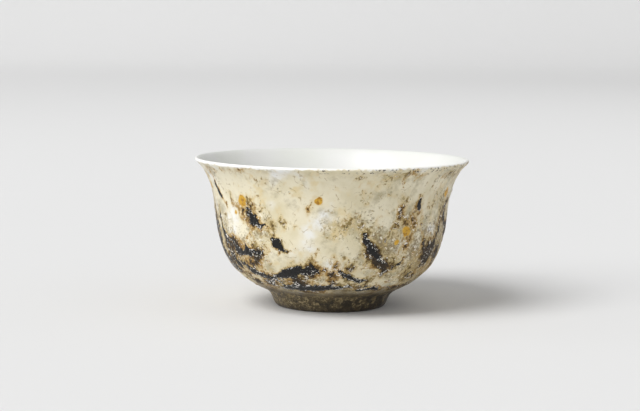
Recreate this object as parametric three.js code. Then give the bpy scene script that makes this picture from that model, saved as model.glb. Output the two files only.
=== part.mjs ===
// A small white porcelain teacup with a flared lip, a full belly and a low foot ring, lacquered outside.
// The cup is thrown in one piece, so it is one closed solid of revolution: open bowl, true walls, hollow foot.
// Millimetres, +Z up. The origin is the middle of the foot ring's flat underside.
import * as THREE from "three";

// Overall
const cupHeight = 46; // table to the top of the lip
const rimRadius = 42.5; // axis to the outermost point of the lip

// Lip, rounded all the way over, and the flare under it
const lipThickness = 1;
const flareAngle = 36; // slope of the wall where it meets the lip, in degrees above level
const flareReach = 5.1; // how far that slope is kept up before the wall turns down
const flareRise = 5.4; // how far the waist's slope is kept up before the wall turns out

// Waist, the steepest part of the wall
const waistRadius = 36.05;
const waistHeight = 29.1;
const waistAngle = 83.5; // slope of the wall there, in degrees above level
const wallThickness = 1.9;

// Belly, from the waist down to the foot
const bellyAngle = 23.6; // slope of the underside where it leaves the foot
const bellyReach = 13.3; // how far that slope is kept up
const bellyRise = 11.8; // how far the waist's slope is kept down

// Floor of the bowl
const floorThickness = 2.7; // at the axis, over the hollow of the foot
const floorReach = 25; // how far the floor stays level before it turns up
const innerBellyRise = 18; // how far the waist's slope is kept down inside the bowl

// Foot ring, a short cone that widens up to the belly
const footHeight = 4.8; // table to the corner where foot and belly meet
const footTopRadius = 19.3;
const footBaseRadius = 17; // at the underside, before its edge is rounded
const footRingWidth = 2.9; // across the flat underside, before its edges are rounded
const footEdgeRound = 0.6;
const footFilletReach = 1.5; // along foot and belly from the corner between them
const hollowDepth = 3.2; // underside of the foot to the ceiling inside it
const hollowFilletReach = 1.2;
const hollowTaper = 0.5; // the hollow's wall leans in by this much over its depth

// Smoothness
const segmentsAround = 72;
const bellySteps = 11;
const flareSteps = 6;
const lipSteps = 6;
const filletSteps = 3;
const innerBellySteps = 11;

const point = (radius, height) => new THREE.Vector2(radius, height);
const onward = (from, angle, distance) => {
  const radians = THREE.MathUtils.degToRad(angle);
  return point(from.x + distance * Math.cos(radians), from.y + distance * Math.sin(radians));
};
const along = (from, to, distance) => from.clone().lerp(to, distance / from.distanceTo(to));

// A curve that leaves one point and reaches another at given slopes, holding each slope for its own reach.
const bend = (from, fromAngle, fromReach, to, toAngle, toReach) =>
  new THREE.CubicBezierCurve(
    from,
    onward(from, fromAngle, fromReach),
    onward(to, toAngle + 180, toReach),
    to,
  );

// The underside: the hollow's ceiling and wall, the flat ring that the cup stands on, and the foot's outside.
// Returns [curve, steps] pairs from the axis outward, up to where the belly starts.
function footStretches(bellyStart) {
  const hollowCentre = point(0, hollowDepth);
  const ringInnerRadius = footBaseRadius - footRingWidth;
  const hollowCorner = point(ringInnerRadius - hollowTaper, hollowDepth);
  const innerEdge = point(ringInnerRadius, 0);
  const outerEdge = point(footBaseRadius, 0);
  const footCorner = point(footTopRadius, footHeight);
  const corners = [
    [hollowCentre, hollowCorner, innerEdge, hollowFilletReach],
    [hollowCorner, innerEdge, outerEdge, footEdgeRound],
    [innerEdge, outerEdge, footCorner, footEdgeRound],
    [outerEdge, footCorner, bellyStart, footFilletReach],
  ];
  let last = hollowCentre;
  const stretches = [];
  for (const [before, corner, after, reach] of corners) {
    const turnsAt = along(corner, before, reach);
    const straightensAt = along(corner, after, reach);
    stretches.push([new THREE.LineCurve(last, turnsAt), 1]);
    stretches.push([new THREE.QuadraticBezierCurve(turnsAt, corner, straightensAt), filletSteps]);
    last = straightensAt;
  }
  return stretches;
}

// The wall from the foot up to the lip, over it, and down inside to the middle of the floor.
function bowlStretches(bellyStart) {
  const waist = point(waistRadius, waistHeight);
  const innerWaist = onward(waist, waistAngle + 90, wallThickness);
  const lipRadius = lipThickness / 2;
  const lipCentre = point(rimRadius - lipRadius, cupHeight - lipRadius);
  const lipOutside = onward(lipCentre, flareAngle - 90, lipRadius);
  const lipInside = onward(lipCentre, flareAngle + 90, lipRadius);
  const floorCentre = point(0, hollowDepth + floorThickness);
  const lipStart = THREE.MathUtils.degToRad(flareAngle - 90);
  return [
    [bend(bellyStart, bellyAngle, bellyReach, waist, waistAngle, bellyRise), bellySteps],
    [bend(waist, waistAngle, flareRise, lipOutside, flareAngle, flareReach), flareSteps],
    [new THREE.ArcCurve(lipCentre.x, lipCentre.y, lipRadius, lipStart, lipStart + Math.PI), lipSteps],
    [bend(lipInside, flareAngle + 180, flareReach, innerWaist, waistAngle + 180, flareRise), flareSteps],
    [bend(innerWaist, waistAngle + 180, innerBellyRise, floorCentre, 180, floorReach), innerBellySteps],
  ];
}

function cupProfile() {
  const footCorner = point(footTopRadius, footHeight);
  const bellyStart = onward(footCorner, bellyAngle, footFilletReach);
  const stretches = [...footStretches(bellyStart), ...bowlStretches(bellyStart)];
  const profile = stretches.flatMap(([curve, steps], i) => curve.getPoints(steps).slice(i ? 1 : 0));
  profile.at(-1).x = 0; // closes the floor exactly on the axis
  return profile;
}

function cup() {
  const geometry = new THREE.LatheGeometry(cupProfile(), segmentsAround);
  geometry.rotateX(Math.PI / 2); // the lathe turns about Y, the cup stands along Z
  const lacqueredPorcelain = new THREE.MeshStandardMaterial({
    color: new THREE.Color(0.78, 0.73, 0.61),
    roughness: 0.35,
    metalness: 0,
  });
  const mesh = new THREE.Mesh(geometry, lacqueredPorcelain);
  mesh.name = "cup";
  return mesh;
}

const teacup = new THREE.Group();
teacup.add(cup());

export default teacup;
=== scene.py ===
"""The lacquered teacup's finish, its floor, its light and the camera at the photograph's angle."""

import math

import bpy
import numpy as np
from mathutils import Matrix, Vector, noise


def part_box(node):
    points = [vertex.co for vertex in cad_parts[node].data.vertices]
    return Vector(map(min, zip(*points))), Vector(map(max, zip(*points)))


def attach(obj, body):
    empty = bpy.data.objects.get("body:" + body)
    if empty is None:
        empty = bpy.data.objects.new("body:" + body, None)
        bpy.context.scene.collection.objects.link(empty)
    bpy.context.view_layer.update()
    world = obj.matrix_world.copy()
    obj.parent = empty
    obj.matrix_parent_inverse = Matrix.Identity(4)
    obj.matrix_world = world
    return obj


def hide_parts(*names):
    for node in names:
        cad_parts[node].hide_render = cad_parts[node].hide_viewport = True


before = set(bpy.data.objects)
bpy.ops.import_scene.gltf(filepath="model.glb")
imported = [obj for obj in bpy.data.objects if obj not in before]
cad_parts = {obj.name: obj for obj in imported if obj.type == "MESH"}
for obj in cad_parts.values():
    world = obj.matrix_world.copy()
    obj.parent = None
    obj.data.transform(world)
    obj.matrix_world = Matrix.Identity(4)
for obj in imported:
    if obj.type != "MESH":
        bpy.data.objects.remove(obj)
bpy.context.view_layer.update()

MM = 0.001

# Places on the wall are an angle in degrees, 0 towards the camera and 90 to its right, and a height in mm.
# The foot ends at its top, and a ring that is no higher than the last of these lies flat on the table.
CUP_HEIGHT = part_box("cup")[1].z / MM
FOOT_TOP = 5.2
ON_TABLE = 1e-6

# Camera, solved from the cup's outline in the photograph: place in mm, pitch and roll in degrees
PHOTO_WIDTH = 640
SENSOR_WIDTH = 36
CAMERA_FOCAL_PIXELS = 1610
CAMERA_PLACE = (-3.52, -500, 83.5)
CAMERA_PITCH = 6.0
CAMERA_ROLL = 0.70

# Fine mesh: steps round the cup, and the spacing of its rings in mm. The lip's holds down to a depth below
# its top, and the foot's outside a radius.
STEPS_AROUND = 576
OUTSIDE_SPACING = 0.62
FOOT_SPACING = 0.45
LIP_SPACING = 0.3
INSIDE_SPACING = 1.9
UNDERSIDE_SPACING = 0.8
LIP_DEPTH = 1.8
FOOT_SIDE_RADIUS = 16

# Drifts, where the lacquer is thick and mottled over an even cream, on the side that the camera sees:
# angle, height, half-width and half-height in mm, tilt from level, and strength
FRONT_DRIFTS = [
    (-88, 24, 14, 20, 0, 0.90),
    (-62, 24, 4, 10, 20, 0.50),
    (-49, 19, 9, 5, -10, 0.80),
    (-44, 11.5, 11, 4, -22, 0.70),
    (-34, 28, 9, 5, -40, 0.80),
    (-16, 13, 13, 5, 14, 0.90),
    (5, 31, 8, 6, 30, 0.42),
    (20, 20, 9, 6, -40, 0.85),
    (40, 33, 7, 5, 60, 0.42),
    (68, 29, 6, 13, 0, 0.48),
    (50, 17, 15, 10, -35, 0.68),
    (84, 24, 18, 24, 0, 0.62),
    (52, 43, 16, 2.0, 0, 0.65),
    (-66, 43, 6, 1.6, 0, 0.55),
]
BACK_DRIFT_ANGLES = range(118, 255, 17)

# Black strokes on that side: angle, height, half-length and half-width in mm, tilt from level, and bend
FRONT_STROKES = [
    (-90, 27, 8, 1.7, -68, 0.2),
    (-75, 20, 9, 2.2, -74, 0.1),
    (-67, 25, 6, 1.0, -62, 0.2),
    (-66, 37, 4.5, 0.8, -70, 0.2),
    (-59, 16, 4, 0.9, -40, 0.1),
    (-50, 19.5, 7.5, 1.6, -12, 0.25),
    (-38, 28.5, 5.6, 1.7, -34, 0.3),
    (-27, 23.0, 3.4, 1.0, -50, 0.3),
    (-43, 12.0, 8.0, 1.2, -24, 0.2),
    (-20, 14.0, 9.5, 1.6, 20, -0.20),
    (-12, 9.2, 13.0, 1.9, 2, 0.04),
    (10, 12.5, 5.5, 1.0, -30, 0.3),
    (20, 21.0, 6.0, 1.0, -54, 0.2),
    (25, 8.6, 6.0, 0.9, 5, -0.04),
    (34, 15.5, 3.0, 0.5, 24, 0.3),
    (45, 34.0, 2.4, 0.7, -66, 0.0),
    (73, 28.0, 3.5, 0.5, -76, 0.1),
]
BACK_STROKE_ANGLES = range(98, 266, 12)
BACK_SEED = 5

# Gold drops all round: angle, height and radius in mm
GOLD_DROPS = [
    (-46, 35.0, 2.0), (-52, 31.0, 0.9), (-6, 36.0, 1.3), (38, 26.5, 1.7), (33, 23.4, 0.8),
    (67, 37.0, 1.5), (-77, 38.0, 1.0), (99, 27.5, 2.0), (105, 31.5, 0.9), (140, 36.0, 1.6),
    (163, 28.0, 2.2), (168, 32.5, 1.0), (205, 37.0, 1.2), (228, 33.0, 2.0), (233, 29.5, 0.9),
    (262, 30.0, 1.4),
]

# How far the outlines of drifts and strokes stray, in mm
DRIFT_STRAY = 2.6
STROKE_STRAY = 0.9

# How old the lacquer looks apart from its drifts: low on the wall, fading between two heights, and in clouds
AGE_NEAR_FOOT = 0.75
AGED_HEIGHTS = (5, 11.5)
AGE_CLOUDS = 0.30

# How ragged the black is, how strongly age brings out its veins, and what they have to overcome
BLACK_RAGGEDNESS = 0.75
VEIN_FROM_AGE = 0.52
VEIN_THRESHOLD = 1.50

# What age has to overcome to be a brown patch, the noise in it, how ragged it is, and how it gathers
# round the strokes
PATCH_THRESHOLD = 0.95
PATCH_NOISE = 0.85
PATCH_RAGGEDNESS = 0.3
PATCH_ROUND_STROKES = 0.55

# How uneven the gold drops' outlines are, as a share of their radius
GOLD_WOBBLE = 0.30

# Relief in mm. It fades in above the table and fades out below the top of the lip.
PATCH_RELIEF = 0.12
BLACK_RELIEF = 0.10
GOLD_RELIEF = 0.12
GRAIN_RELIEF = 0.03
WAVE_RELIEF = 0.12
LOWEST_RELIEF, HIGHEST_RELIEF = -0.25, 0.4
FADE_IN = (0.2, 1.4)
FADE_OUT = (2.6, 1.0)

# The bare lip: how far below its top the lacquer thins out, and the height of the row of dark specks
BARE_BELOW = (0.65, 0.05)
RIM_SPECKS_BELOW = 0.95

# Stage in metres, and its paper from the cup to the far left and the far right; the far tones are painted
# shade, darker than the paper by the cup
FLOOR_RADIUS = 4.0
SWEEP_RADIUS = 1.5
SWEEP_STEPS = 12
WALL_TOP = 1.6
STAGE_STEPS = 96
NEAR_PAPER = (0.78, 0.78, 0.78, 1)
FAR_LEFT_SHADED_PAPER = (0.71, 0.71, 0.71, 1)
FAR_RIGHT_SHADED_PAPER = (0.60, 0.60, 0.60, 1)

# Sky light
SKY = (1.0, 1.0, 0.995, 1)
SKY_STRENGTH = 0.37


def colour(red, green, blue):
    """A colour given as it looks on a screen, 0 to 255, as linear light."""
    linear = [((c / 255 + 0.055) / 1.055) ** 2.4 for c in (red, green, blue)]
    return (*linear, 1)


# Ground of the lacquer, and what lies in it
CREAM = colour(225, 217, 192)
BEIGE = colour(212, 202, 171)
CLOUD_WHITE = colour(231, 231, 228)
CLOUD_OCHRE = colour(214, 194, 142)
SMOKE = colour(160, 149, 114)
CLEAN_GRAIN = colour(182, 170, 138)
OLD_GRAIN = colour(122, 102, 64)
PALE_GRAIN = colour(238, 232, 216)
CLEAN_SPECK = colour(158, 146, 118)
OLD_SPECK = colour(76, 63, 42)
DRIED_EDGE = colour(156, 132, 84)

# Brown patches, black strokes and gold drops
PATCH_HALO = colour(206, 182, 128)
OCHRE_BROWN = colour(168, 132, 66)
OLIVE_BROWN = colour(138, 120, 70)
DARK_BROWN = colour(92, 66, 24)
DARKEST_BROWN = colour(38, 29, 18)
PATCH_FLECK = colour(240, 235, 222)
BLACK = colour(13, 12, 12)
RUBBED_FLECK = colour(234, 231, 224)
GOLD = colour(208, 162, 58)
DARK_GOLD = colour(168, 122, 44)
LIGHT_GOLD = colour(228, 190, 98)
GOLD_HALO = colour(214, 190, 128)

# Foot, the belly just above it, and the lip
BELLY_SHADE = colour(104, 90, 66)
FOOT_OLIVE = colour(82, 72, 51)
FOOT_GRAIN = colour(164, 147, 110)
FOOT_CLOUD = colour(152, 134, 96)
# Dark mottle on the foot, laid more thickly on its right as painted shade
FOOT_DARK_AND_SHADE = colour(42, 37, 31)
FOOT_EDGE = colour(54, 47, 38)
BARE_LIP = colour(243, 242, 238)
RIM_SPECK = colour(56, 50, 42)

# White glaze
GLAZE = colour(228, 228, 226)
GLAZE_SHADE = colour(224, 225, 220)
GLAZE_PIT = colour(205, 200, 188)


def smooth_step(value, low, high):
    """Rises smoothly from 0 to 1 as value goes from low to high."""
    share = np.clip((value - low) / (high - low), 0, 1)
    return share * share * (3 - 2 * share)


def turned_outline(node):
    """Radius and height, in mm, along a turned solid's outline, from the axis below to the axis above."""
    tolerance = 1e-6
    decimals = 3
    points = [vertex.co for vertex in node.data.vertices]
    in_plane = [abs(p.x) < tolerance and p.y < tolerance for p in points]
    place = [(round(-p.y / MM, decimals), round(p.z / MM, decimals)) for p in points]
    beside = {}
    for edge in node.data.edges:
        a, b = edge.vertices
        if in_plane[a] and in_plane[b] and place[a] != place[b]:
            beside.setdefault(place[a], set()).add(place[b])
            beside.setdefault(place[b], set()).add(place[a])
    ends = sorted((p for p in beside if p[0] == 0), key=lambda p: p[1])
    outline = [ends[0]]
    while outline[-1] != ends[-1]:
        onward = beside[outline[-1]] - set(outline[-2:])
        outline.append(next(iter(onward)))
    return np.array(outline)


def spacing_at(radius, height, outside):
    """How far apart the rings lie, in mm, at a place on the outline."""
    if height > CUP_HEIGHT - LIP_DEPTH:
        return LIP_SPACING
    if not outside:
        return INSIDE_SPACING
    if height < FOOT_TOP:
        return FOOT_SPACING if radius > FOOT_SIDE_RADIUS else UNDERSIDE_SPACING
    return OUTSIDE_SPACING


def fine_outline(outline):
    """Points on a smooth curve through the outline's, level at the axis, and their places along it."""
    lengths = np.hypot(*np.diff(outline, axis=0).T)
    along = np.concatenate([[0], np.cumsum(lengths)])
    slopes = np.gradient(outline, along, axis=0)
    slopes[0], slopes[-1] = (1, 0), (-1, 0)
    top = outline[:, 1].argmax()
    places = [0.0]
    while places[-1] < along[-1]:
        i = min(np.searchsorted(along, places[-1], side="right") - 1, len(lengths) - 1)
        places.append(places[-1] + spacing_at(*outline[i], outside=i < top))
    places = np.array(places) * along[-1] / places[-1]
    i = np.clip(np.searchsorted(along, places, side="right") - 1, 0, len(lengths) - 1)
    t = ((places - along[i]) / lengths[i])[:, None]
    span = lengths[i][:, None]
    fine = (
        (2 * t**3 - 3 * t**2 + 1) * outline[i]
        + (t**3 - 2 * t**2 + t) * span * slopes[i]
        + (3 * t**2 - 2 * t**3) * outline[i + 1]
        + (t**3 - t**2) * span * slopes[i + 1]
    )
    fine[:, 1] = np.maximum(fine[:, 1], 0)
    fine[[0, -1], 0] = 0
    return fine, places


def fractal(points, size, octaves, shift):
    """Noise of about -1 to 1 at points in mm, with features of that size in mm. Shift picks another part."""
    smoothness, octave_ratio, amplitude = 0.9, 2.1, 1.4
    moved = points / size + shift
    values = [noise.fractal(Vector(p), smoothness, octave_ratio, octaves) for p in moved]
    return np.array(values) * amplitude


def ridges(points, size, shift):
    """Noise of 0 to 1 that is near 1 along thin wandering lines."""
    sharpness = 2.2
    return 1 - np.clip(np.abs(fractal(points, size, 3, shift)) * sharpness, 0, 1)


def stray(points, reach, size, shifts):
    """Two fields of noise, in mm, that make a mark's outline wander across and up the wall."""
    return [reach * fractal(points, size, 4, shift) for shift in shifts]


class Wall:
    """The outside of the cup: each point's place, angle, radius and length along the outline up to it, and
    the outline's own points with their lengths."""

    def __init__(self, points, angle, radius, length, outline, outline_length):
        self.points = points
        self.height = points[:, 2]
        self.angle = angle
        self.radius = radius
        self.length = length
        self.outline = outline
        self.outline_length = outline_length

    def across(self, place):
        """Distance round the wall, in mm, from that angle."""
        return np.radians((self.angle - place + 180) % 360 - 180) * self.radius

    def along_and_beside(self, place, level, tilt, strayed):
        """Distances along and beside a tilted mark, in mm, from its middle."""
        across = self.across(place) + strayed[0]
        middle = np.interp(level, self.outline[:, 1], self.outline_length)
        upward = self.length - middle + strayed[1]
        lean = math.radians(tilt)
        along = across * math.cos(lean) + upward * math.sin(lean)
        beside = upward * math.cos(lean) - across * math.sin(lean)
        return along, beside


def back_drifts(chance):
    """Drifts round the back, each as in FRONT_DRIFTS."""
    return [
        (
            angle,
            chance.uniform(10, 38),
            chance.uniform(6, 13),
            chance.uniform(4, 8),
            chance.uniform(-60, 20),
            0.75,
        )
        for angle in BACK_DRIFT_ANGLES
    ]


def back_strokes(chance):
    """Strokes round the back, each as in FRONT_STROKES."""
    return [
        (
            angle + chance.uniform(-5, 5),
            chance.uniform(8, 36),
            chance.uniform(2, 5),
            chance.uniform(1.0, 2.0),
            chance.uniform(-60, -10),
            chance.uniform(-0.2, 0.2),
        )
        for angle in BACK_STROKE_ANGLES
    ]


def drift_field(wall, drifts):
    """How thick and old the lacquer looks: high in the drifts and above the foot."""
    strayed = stray(wall.points, DRIFT_STRAY, size=8.0, shifts=(5.7, 9.9))
    near_foot = AGE_NEAR_FOOT * (1 - smooth_step(wall.height, *AGED_HEIGHTS))
    age = near_foot + AGE_CLOUDS * fractal(wall.points, size=14.0, octaves=3, shift=33.3)
    for place, level, half_width, half_height, tilt, strength in drifts:
        x, y = wall.along_and_beside(place, level, tilt, strayed)
        age = age + strength * np.exp(-((x / half_width) ** 2) - (y / half_height) ** 2)
    return age


def stroke_field(wall, strokes):
    """How far inside a stroke each point lies: 1 in its middle, 0 at its edge, and less outside."""
    strayed = stray(wall.points, STROKE_STRAY, size=5.0, shifts=(15.7, 19.9))
    black = np.full(len(wall.points), -2.0)
    for place, level, half_length, half_width, tilt, bend in strokes:
        x, y = wall.along_and_beside(place, level, tilt, strayed)
        x = x / half_length
        y = (y - bend * half_length * x * x) / half_width
        black = np.maximum(black, 1 - np.hypot(x, y))
    return black


def gold_field(wall):
    """How far inside a gold drop each point lies: 1 in its middle and 0 at its edge."""
    gold = np.full(len(wall.points), -1.0)
    wobble = GOLD_WOBBLE * fractal(wall.points, size=1.8, octaves=3, shift=40.2)
    for place, level, drop_radius in GOLD_DROPS:
        distance = np.hypot(wall.across(place), wall.height - level) / drop_radius
        gold = np.maximum(gold, 1 - distance + wobble)
    return np.clip(gold, -1, 1)


def lacquer_fields(wall):
    """How far inside a brown patch, a black stroke and a gold drop each point of the wall lies, and how old
    and grainy its lacquer looks."""
    chance = np.random.default_rng(BACK_SEED)
    age = drift_field(wall, FRONT_DRIFTS + back_drifts(chance))
    strokes = stroke_field(wall, FRONT_STROKES + back_strokes(chance))
    coarse = fractal(wall.points, size=2.8, octaves=4, shift=3.1)
    ragged = 0.5 * coarse + 0.3 * fractal(wall.points, size=1.2, octaves=3, shift=8.7)

    # Black also gathers in thin veins where the lacquer is old, and stays off the foot
    upright = wall.points * (1, 1, 0.7)
    vein = ridges(upright, size=7.0, shift=21.3) + VEIN_FROM_AGE * np.clip(age, 0, 1.1) - VEIN_THRESHOLD
    on_foot = 1 - smooth_step(wall.height, FOOT_TOP, FOOT_TOP + 2)
    black = np.clip(np.maximum(strokes, vein) + BLACK_RAGGEDNESS * ragged - 2 * on_foot, -1, 1)

    # Brown lies in the drifts, and round and under the black
    halo = smooth_step(strokes, -1.8, 0.2)
    upright = wall.points * (1, 1, 0.6)
    patch = age - PATCH_THRESHOLD + PATCH_NOISE * fractal(upright, size=5.0, octaves=5, shift=12.4)
    patch = patch + PATCH_RAGGEDNESS * ragged + PATCH_ROUND_STROKES * halo
    patch = np.clip(np.maximum(patch, 1.1 * black + 0.15), -1, 1)

    return {"patch": patch, "black": black, "gold": gold_field(wall), "age": np.clip(age, 0, 1)}


def lacquer_relief(wall, fields):
    """How far the lacquer stands out from the even wall, in mm."""
    grain = fractal(wall.points, size=1.0, octaves=2, shift=60.5)
    relief = (
        WAVE_RELIEF * fractal(wall.points, size=9.0, octaves=2, shift=70.1)
        + PATCH_RELIEF * smooth_step(fields["patch"], 0.0, 0.5) * (0.5 + 0.5 * grain)
        + BLACK_RELIEF * smooth_step(fields["black"], 0.0, 0.2)
        + GOLD_RELIEF * smooth_step(fields["gold"], 0.0, 0.35)
        + GRAIN_RELIEF * grain
    )
    faded_out = smooth_step(wall.height, *(CUP_HEIGHT - depth for depth in FADE_OUT))
    fade = smooth_step(wall.height, *FADE_IN) * (1 - faded_out)
    return np.clip(relief, LOWEST_RELIEF, HIGHEST_RELIEF) * fade


def turned_faces(ring_count):
    """Quads between the rings, then a fan to each of the two points on the axis, which come after them."""
    here = np.arange(STEPS_AROUND)
    beside = np.roll(here, -1)
    faces = []
    for ring in range(ring_count - 1):
        a, b = ring * STEPS_AROUND, (ring + 1) * STEPS_AROUND
        faces.extend(np.column_stack([a + here, a + beside, b + beside, b + here]).tolist())
    last_ring = (ring_count - 1) * STEPS_AROUND
    under = ring_count * STEPS_AROUND
    floor = under + 1
    faces.extend([under, int(n), int(m)] for m, n in zip(here, beside))
    faces.extend([floor, last_ring + int(m), last_ring + int(n)] for m, n in zip(here, beside))
    return faces


def all_round(values):
    """One value a ring, repeated for each point of its ring."""
    return np.repeat(values, STEPS_AROUND)


def place_at(angle, reach, height):
    """Places or directions, from their angle round the cup, their reach from its axis and their height."""
    turn = np.radians(angle)
    return np.column_stack([reach * np.sin(turn), -reach * np.cos(turn), height])


def straight_out(rings, along):
    """Reach and height of a step of length one straight out of the surface, at each ring."""
    slope = np.gradient(rings, along, axis=0)
    slope /= np.hypot(*slope.T)[:, None]
    return slope[:, 1], -slope[:, 0]


def lay_fields(mesh, fields, outside):
    """Lays each field on the mesh as an attribute, which is -1 away from the wall."""
    for name, values in fields.items():
        whole = np.full(len(mesh.vertices), -1, dtype=np.float32)
        whole[outside] = values
        layer = mesh.attributes.new(name, "FLOAT", "POINT")
        layer.data.foreach_set("value", whole)


def build_cup():
    outline, along = fine_outline(turned_outline(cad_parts["cup"]))
    rings = outline[1:-1]
    ring_along = along[1:-1]
    radius = all_round(rings[:, 0])
    angle = np.tile(np.arange(STEPS_AROUND) * 360 / STEPS_AROUND, len(rings))
    points = place_at(angle, radius, all_round(rings[:, 1]))
    out_reach, out_height = straight_out(rings, ring_along)
    outward = place_at(angle, all_round(out_reach), all_round(out_height))

    # The outside runs from the edge of the flat ring to the top of the lip
    top = rings[:, 1].argmax()
    foot_edge = np.flatnonzero(rings[:top, 1] <= ON_TABLE).max()
    outside = slice((foot_edge + 1) * STEPS_AROUND, (top + 1) * STEPS_AROUND)
    wall_rings = slice(foot_edge, top + 1)
    wall = Wall(
        points[outside],
        angle[outside],
        radius[outside],
        all_round(ring_along)[outside],
        rings[wall_rings],
        ring_along[wall_rings],
    )
    fields = lacquer_fields(wall)
    points[outside] += lacquer_relief(wall, fields)[:, None] * outward[outside]

    axis_points = [[0, 0, outline[0, 1]], [0, 0, outline[-1, 1]]]
    vertices = np.vstack([points, axis_points]) * MM
    mesh = bpy.data.meshes.new("lacquered_cup")
    mesh.from_pydata(vertices.tolist(), [], turned_faces(len(rings)))
    mesh.shade_smooth()
    lay_fields(mesh, fields, outside)

    # Porcelain is bare inside, over the lip and under the foot ring
    mesh.materials.append(lacquer_material())
    mesh.materials.append(porcelain_material())
    bare = np.ones(len(mesh.polygons), dtype=np.int32)
    bare[foot_edge * STEPS_AROUND : top * STEPS_AROUND] = 0
    mesh.polygons.foreach_set("material_index", bare)

    cup = bpy.data.objects.new("lacquered_cup", mesh)
    bpy.context.scene.collection.objects.link(cup)
    return cup


class Painter:
    """Builds a material's nodes. All its methods but feed return the socket that holds their result."""

    def __init__(self, name):
        self.material = bpy.data.materials.new(name)
        self.material.use_nodes = True
        self.nodes = self.material.node_tree.nodes
        self.links = self.material.node_tree.links
        self.shader = self.nodes["Principled BSDF"]
        self.place = self.nodes.new("ShaderNodeTexCoord").outputs["Object"]

    def feed(self, socket, value):
        """Links a socket to another's result, or sets it to a plain value."""
        if isinstance(value, bpy.types.NodeSocket):
            self.links.new(value, socket)
        else:
            socket.default_value = value

    def attribute(self, name):
        node = self.nodes.new("ShaderNodeAttribute")
        node.attribute_name = name
        return node.outputs["Fac"]

    def along(self, axis):
        """Place along an axis, in mm."""
        node = self.nodes.new("ShaderNodeSeparateXYZ")
        self.links.new(self.place, node.inputs["Vector"])
        return self.math("MULTIPLY", node.outputs[axis], 1 / MM)

    def moved(self, x, y, z):
        """The place moved aside, so that a texture there is another part of the same kind."""
        mapping = self.nodes.new("ShaderNodeMapping")
        mapping.inputs["Location"].default_value = (x, y, z)
        self.links.new(self.place, mapping.inputs["Vector"])
        return mapping.outputs["Vector"]

    def noise(self, size, detail, roughness, shift, distortion=0.0):
        """Noise of 0 to 1 with features of that size in mm."""
        node = self.nodes.new("ShaderNodeTexNoise")
        node.inputs["Scale"].default_value = 1 / (size * MM)
        node.inputs["Detail"].default_value = detail
        node.inputs["Roughness"].default_value = roughness
        node.inputs["Distortion"].default_value = distortion
        self.links.new(self.moved(shift, shift * 0.7, -shift), node.inputs["Vector"])
        return node.outputs["Fac"]

    def cells(self, size, shift):
        """Distance from the middles of scattered cells of that size in mm, as a share of it."""
        node = self.nodes.new("ShaderNodeTexVoronoi")
        node.inputs["Scale"].default_value = 1 / (size * MM)
        self.links.new(self.moved(shift, -shift, shift * 0.5), node.inputs["Vector"])
        return node.outputs["Distance"]

    def math(self, operation, a, b=0.0, c=0.0):
        node = self.nodes.new("ShaderNodeMath")
        node.operation = operation
        self.feed(node.inputs[0], a)
        self.feed(node.inputs[1], b)
        self.feed(node.inputs[2], c)
        return node.outputs[0]

    def added(self, first, *others):
        for other in others:
            first = self.math("ADD", first, other)
        return first

    def times(self, first, *others):
        for other in others:
            first = self.math("MULTIPLY", first, other)
        return first

    def leaning(self, base, field, share):
        """A base that rises with that share of a field."""
        return self.math("MULTIPLY_ADD", field, share, base)

    def swing(self, value, amount):
        """Noise of 0 to 1 as a change of half that amount either way."""
        return self.math("MULTIPLY_ADD", value, amount, -amount / 2)

    def step(self, value, start, end, bottom=0.0, top=1.0):
        """Goes smoothly from bottom to top as value goes from start to end, where end may be the lower."""
        node = self.nodes.new("ShaderNodeMapRange")
        node.interpolation_type = "SMOOTHSTEP"
        self.feed(node.inputs["Value"], value)
        node.inputs["From Min"].default_value = start
        node.inputs["From Max"].default_value = end
        node.inputs["To Min"].default_value = bottom
        node.inputs["To Max"].default_value = top
        return node.outputs["Result"]

    def over(self, under, laid, share):
        """One colour laid over another, as thick as share says."""
        node = self.nodes.new("ShaderNodeMix")
        node.data_type = "RGBA"
        self.feed(node.inputs["Factor"], share)
        self.feed(node.inputs["A"], under)
        self.feed(node.inputs["B"], laid)
        return node.outputs["Result"]

    def bump(self, height, distance):
        """Normals for a relief that stands out by that distance, in mm, where the height is 1."""
        node = self.nodes.new("ShaderNodeBump")
        node.inputs["Distance"].default_value = distance * MM
        self.feed(node.inputs["Height"], height)
        return node.outputs["Normal"]


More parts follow.
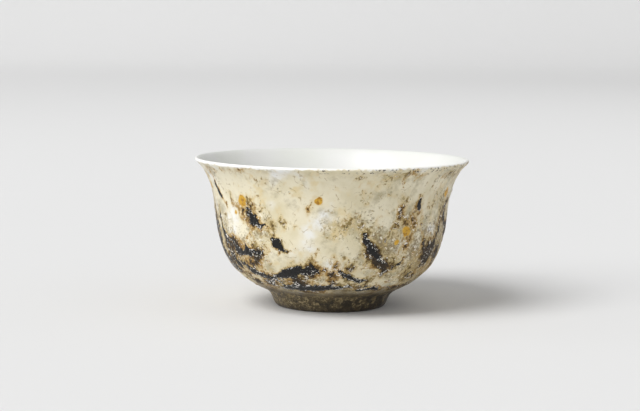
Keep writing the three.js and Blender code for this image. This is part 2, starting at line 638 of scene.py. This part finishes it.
class Lacquer(Painter):
    """The lacquer's layers, from cream up, each laid over the ground below it, then its gloss and grain."""

    def __init__(self):
        super().__init__("mottled_lacquer")
        self.patch = self.attribute("patch")
        self.black = self.attribute("black")
        self.gold = self.attribute("gold")
        self.age = self.attribute("age")
        self.height = self.along("Z")
        self.rightward = self.along("X")
        self.fine = self.noise(size=0.70, detail=3, roughness=0.70, shift=0.11)
        self.small = self.noise(size=1.3, detail=3, roughness=0.65, shift=0.57)
        self.medium = self.noise(size=2.6, detail=4, roughness=0.6, shift=0.23)
        self.broad = self.noise(size=10, detail=4, roughness=0.55, shift=0.37)

        # Brown, black and gold with edges broken up by noise
        self.speckled = self.added(
            self.patch, self.swing(self.medium, 1.0), self.swing(self.small, 1.5), self.swing(self.fine, 1.5)
        )
        ink = self.added(self.black, self.swing(self.small, 0.7), self.swing(self.fine, 0.6))
        self.ink = self.step(ink, 0.06, 0.14)
        self.drop = self.step(self.gold, 0.0, 0.14)

    def cream(self):
        """Cream with beige, white and ochre clouds."""
        ground = self.over(CREAM, BEIGE, self.step(self.broad, 0.42, 0.66))
        white = self.noise(size=13, detail=4, roughness=0.5, shift=0.61)
        ground = self.over(ground, CLOUD_WHITE, self.step(white, 0.52, 0.68))
        ochre = self.noise(size=6, detail=4, roughness=0.6, shift=1.91)
        return self.over(ground, CLOUD_OCHRE, self.step(ochre, 0.54, 0.72, top=0.7))

    def smoke_and_grain(self, ground):
        """Soft grey-olive smoke, and a grain that thickens where the lacquer is older."""
        smoke = self.leaning(self.noise(size=5, detail=5, roughness=0.65, shift=0.83), self.age, 0.25)
        ground = self.over(ground, SMOKE, self.step(smoke, 0.53, 0.78, top=0.7))
        grain = self.leaning(self.leaning(self.fine, self.age, 0.32), self.medium, 0.4)
        tone = self.over(CLEAN_GRAIN, OLD_GRAIN, self.step(self.age, 0.15, 0.6))
        ground = self.over(ground, tone, self.step(grain, 0.86, 1.02, top=0.8))
        pale = self.times(self.step(self.small, 0.57, 0.65), self.step(self.age, 0.2, 0.7, top=0.8))
        return self.over(ground, PALE_GRAIN, pale)

    def dark_specks(self, ground):
        """Dark specks, few on the clean ground and many on the old."""
        crowd = self.leaning(self.medium, self.age, 0.19)
        speck = self.step(self.cells(size=1.3, shift=0.05), 0.24, 0.12)
        tone = self.over(CLEAN_SPECK, OLD_SPECK, self.step(self.age, 0.1, 0.5))
        return self.over(ground, tone, self.times(speck, self.step(crowd, 0.59, 0.69, top=0.8)))

    def dried_edges(self, ground):
        """Thin brown outlines, where drops of lacquer dried."""
        level = self.math("SUBTRACT", self.noise(size=4.5, detail=2, roughness=0.5, shift=2.7), 0.5)
        line = self.step(self.math("ABSOLUTE", level), 0.018, 0.006)
        return self.over(ground, DRIED_EDGE, self.times(line, self.step(self.medium, 0.50, 0.60, top=0.6)))

    def brown_patches(self, ground):
        """A soft halo, then a speckle of ochre, olive, dark brown and white."""
        brown = self.over(OCHRE_BROWN, OLIVE_BROWN, self.step(self.broad, 0.42, 0.58))
        ground = self.over(ground, PATCH_HALO, self.step(self.patch, -0.55, 0.1, top=0.65))
        ground = self.over(ground, brown, self.step(self.speckled, -0.15, 0.12, top=0.92))
        ground = self.over(ground, DARK_BROWN, self.step(self.speckled, 0.18, 0.42, top=0.92))
        ground = self.over(ground, DARKEST_BROWN, self.step(self.speckled, 0.46, 0.64, top=0.92))
        fleck = self.noise(size=0.9, detail=3, roughness=0.7, shift=0.45, distortion=0.8)
        crowd = self.noise(size=2.2, detail=3, roughness=0.6, shift=0.9)
        fleck = self.times(
            self.step(fleck, 0.55, 0.60),
            self.step(self.speckled, -0.2, 0.1, top=0.95),
            self.step(crowd, 0.47, 0.54),
        )
        return self.over(ground, PATCH_FLECK, fleck)

    def foot(self, ground):
        """Foot and the belly above it: dark olive brown with a tan grain, with painted shade that darkens it
        on the right.
        """
        belly_line = self.swing(self.noise(size=7, detail=4, roughness=0.6, shift=0.31), 8.0)
        belly = self.step(self.added(self.height, belly_line), 10.0, 5.5, top=0.8)
        ground = self.over(ground, BELLY_SHADE, belly)
        grain = self.leaning(self.times(self.fine, 0.6), self.small, 0.4)
        tone = self.over(FOOT_OLIVE, FOOT_GRAIN, self.step(grain, 0.48, 0.58))
        cloud = self.leaning(self.noise(size=5, detail=4, roughness=0.65, shift=1.1), self.fine, 0.3)
        tone = self.over(tone, FOOT_CLOUD, self.step(cloud, 0.66, 0.84, top=0.6))
        dark = self.noise(size=3.0, detail=4, roughness=0.65, shift=0.7)
        # Painted shade: more dark mottle towards the right of the foot, the side away from the light
        dark = self.added(self.step(self.rightward, -14, 14, bottom=-0.05, top=0.09), dark)
        tone = self.over(tone, FOOT_DARK_AND_SHADE, self.step(dark, 0.50, 0.61, top=0.9))
        tone = self.over(tone, FOOT_EDGE, self.step(self.height, 3.0, 0.2, top=0.75))
        foot_height = self.added(self.height, self.swing(self.medium, 4.0))
        return self.over(ground, tone, self.step(foot_height, 7.4, 5.2, top=0.97))

    def black_strokes(self, ground):
        """Black lacquer, with white flecks rubbed through it, most of them low on the wall."""
        ground = self.over(ground, BLACK, self.ink)
        fleck = self.noise(size=1.1, detail=2, roughness=0.5, shift=1.3, distortion=1.8)
        fleck = self.added(fleck, self.step(self.height, 9, 16, top=-0.07))
        rubbed = self.times(self.step(fleck, 0.53, 0.57), self.step(self.black, 0.60, 0.25), self.ink)
        return self.over(ground, RUBBED_FLECK, rubbed)

    def gold_drops(self, ground):
        """Mottled gold drops in a soft ochre halo."""
        tone = self.over(GOLD, DARK_GOLD, self.step(self.small, 0.48, 0.60))
        tone = self.over(tone, LIGHT_GOLD, self.step(self.fine, 0.56, 0.66, top=0.7))
        ground = self.over(ground, GOLD_HALO, self.step(self.gold, -0.30, 0.05, top=0.5))
        return self.over(ground, tone, self.drop)

    def bare_lip(self, ground):
        """Porcelain where the lacquer thins out towards the lip, sooner on the left."""
        edge_line = self.swing(self.noise(size=1.8, detail=4, roughness=0.6, shift=1.7), 2.0)
        edge = self.added(self.height, edge_line, self.step(self.rightward, 5, -25, top=0.6))
        bare = self.step(edge, *(CUP_HEIGHT - depth for depth in BARE_BELOW))
        return self.over(ground, BARE_LIP, bare)

    def rim_specks(self, ground):
        """A row of small dark specks under the lip, most of them on the right."""
        crowd = self.noise(size=2.6, detail=4, roughness=0.65, shift=2.1)
        crowd = self.added(self.step(self.rightward, -12, 12, top=0.16), crowd)
        uneven = self.noise(size=0.8, detail=3, roughness=0.7, shift=3.3)
        ragged = self.leaning(self.cells(size=0.9, shift=0.15), uneven, 0.9)
        from_row = self.math("SUBTRACT", self.height, CUP_HEIGHT - RIM_SPECKS_BELOW)
        row = self.step(self.math("ABSOLUTE", from_row), 0.80, 0.40, top=0.95)
        specks = self.times(self.step(ragged, 0.86, 0.76), self.step(crowd, 0.60, 0.66), row)
        return self.over(ground, RIM_SPECK, specks)

    def roughness(self):
        """Satin, duller on the brown and glossier on the black."""
        rough = self.step(self.medium, 0.3, 0.7, bottom=0.32, top=0.46)
        rough = self.added(rough, self.step(self.speckled, 0.1, 0.6, top=0.16))
        return self.math("SUBTRACT", rough, self.times(self.ink, 0.16))

    def grain_relief(self):
        """Fine grain, strongest on the brown."""
        grain = self.leaning(self.fine, self.small, 0.8)
        return self.times(grain, self.step(self.speckled, -0.2, 0.4, bottom=0.25))


def lacquer_material():
    paint = Lacquer()
    ground = paint.cream()
    for layer in (
        paint.smoke_and_grain,
        paint.dark_specks,
        paint.dried_edges,
        paint.brown_patches,
        paint.foot,
        paint.black_strokes,
        paint.gold_drops,
        paint.bare_lip,
        paint.rim_specks,
    ):
        ground = layer(ground)
    paint.feed(paint.shader.inputs["Base Color"], ground)
    paint.feed(paint.shader.inputs["Roughness"], paint.roughness())
    paint.feed(paint.shader.inputs["Metallic"], paint.times(paint.drop, 0.3))
    paint.shader.inputs["Specular IOR Level"].default_value = 0.32
    paint.feed(paint.shader.inputs["Normal"], paint.bump(paint.grain_relief(), distance=0.12))
    return paint.material


def porcelain_material():
    """White glaze with faint clouds and a few tiny pits."""
    paint = Painter("white_porcelain")
    broad = paint.noise(size=16, detail=2, roughness=0.5, shift=0.2)
    tone = paint.over(GLAZE, GLAZE_SHADE, paint.step(broad, 0.35, 0.65))
    pit = paint.step(paint.cells(size=3.4, shift=0.6), 0.035, 0.015, top=0.6)
    paint.feed(paint.shader.inputs["Base Color"], paint.over(tone, GLAZE_PIT, pit))
    paint.feed(paint.shader.inputs["Roughness"], paint.step(broad, 0.3, 0.7, bottom=0.28, top=0.34))
    paint.shader.inputs["Specular IOR Level"].default_value = 0.3
    waves = paint.noise(size=5, detail=2, roughness=0.5, shift=0.9)
    paint.feed(paint.shader.inputs["Normal"], paint.bump(waves, distance=0.05))
    return paint.material


def paper_material():
    """Pale paper, with painted shade that makes it a little darker in the distance, and there more so on the
    right.
    """
    paint = Painter("pale_paper")
    reach = paint.nodes.new("ShaderNodeVectorMath")
    reach.operation = "LENGTH"
    paint.links.new(paint.place, reach.inputs[0])
    # Painted shade: the paper darkens away from the cup, more so on the right
    far = paint.step(reach.outputs["Value"], 0.3, 3.0)
    far_painted_shade = paint.over(FAR_LEFT_SHADED_PAPER, FAR_RIGHT_SHADED_PAPER, paint.step(paint.along("X"), -1500, 1500))
    paint.feed(paint.shader.inputs["Base Color"], paint.over(NEAR_PAPER, far_painted_shade, far))
    paint.shader.inputs["Roughness"].default_value = 0.9
    return paint.material


def build_stage():
    """A pale floor that sweeps up into a low wall all round, far outside the views."""
    bends = np.linspace(0, math.pi / 2, SWEEP_STEPS + 1)
    section = [
        (FLOOR_RADIUS + SWEEP_RADIUS * math.sin(bend), SWEEP_RADIUS * (1 - math.cos(bend))) for bend in bends
    ]
    section.append((FLOOR_RADIUS + SWEEP_RADIUS, WALL_TOP))
    vertices = [
        (radius * math.sin(turn), -radius * math.cos(turn), height)
        for radius, height in section
        for turn in np.linspace(0, 2 * math.pi, STAGE_STEPS, endpoint=False)
    ]
    centre = len(vertices)
    vertices.append((0, 0, 0))
    faces = []
    for ring in range(len(section) - 1):
        a, b = ring * STAGE_STEPS, (ring + 1) * STAGE_STEPS
        for i in range(STAGE_STEPS):
            j = (i + 1) % STAGE_STEPS
            faces.append((a + i, a + j, b + j, b + i))
    faces += [(centre, (i + 1) % STAGE_STEPS, i) for i in range(STAGE_STEPS)]
    mesh = bpy.data.meshes.new("floor")
    mesh.from_pydata(vertices, [], faces)
    mesh.shade_smooth()
    floor = bpy.data.objects.new("floor", mesh)
    bpy.context.scene.collection.objects.link(floor)
    mesh.materials.append(paper_material())


def add_light(name, kind, around, above, power):
    """A light aimed at the cup: degrees round from the camera's side, and degrees above the floor."""
    around, above = math.radians(around), math.radians(above)
    level = math.cos(above)
    away = Vector((math.sin(around) * level, -math.cos(around) * level, math.sin(above)))
    data = bpy.data.lights.new(name, kind)
    data.energy = power
    light = bpy.data.objects.new(name, data)
    light.rotation_euler = away.to_track_quat("Z", "Y").to_euler()
    bpy.context.scene.collection.objects.link(light)
    return light, away


def broad_light(name, around, above, spread, power):
    """Soft even light from that direction, as wide as spread in degrees."""
    light, _ = add_light(name, "SUN", around, above, power)
    light.data.angle = math.radians(spread)


def near_light(name, around, above, distance, size, power):
    """A round soft light near the cup, whose light falls off towards the backdrop."""
    light, away = add_light(name, "AREA", around, above, power)
    light.data.shape = "DISK"
    light.data.size = size
    light.location = away * distance


def build_light():
    broad_light("key", around=-52, above=51, spread=34, power=1.9)
    broad_light("low_left", around=-57, above=28, spread=26, power=0.85)
    broad_light("right_fill", around=85, above=24, spread=70, power=0.24)
    near_light("front", around=-5, above=16, distance=1.4, size=0.7, power=2.0)
    near_light("left", around=-105, above=14, distance=1.4, size=0.7, power=2.0)
    world = bpy.data.worlds.new("studio")
    world.use_nodes = True
    background = world.node_tree.nodes["Background"]
    background.inputs["Color"].default_value = SKY
    background.inputs["Strength"].default_value = SKY_STRENGTH
    bpy.context.scene.world = world
    bpy.context.scene.view_settings.view_transform = "Standard"


def build_camera():
    data = bpy.data.cameras.new("camera")
    data.sensor_width = SENSOR_WIDTH
    data.lens = SENSOR_WIDTH * CAMERA_FOCAL_PIXELS / PHOTO_WIDTH
    camera = bpy.data.objects.new("camera", data)
    tilt = Matrix.Rotation(math.radians(90 - CAMERA_PITCH), 4, "X")
    roll = Matrix.Rotation(math.radians(CAMERA_ROLL), 4, "Z")
    camera.matrix_world = Matrix.Translation(Vector(CAMERA_PLACE) * MM) @ tilt @ roll
    bpy.context.scene.collection.objects.link(camera)
    bpy.context.scene.camera = camera


build_camera()
build_stage()
build_light()
cup = build_cup()
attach(cup, "root")
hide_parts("cup")
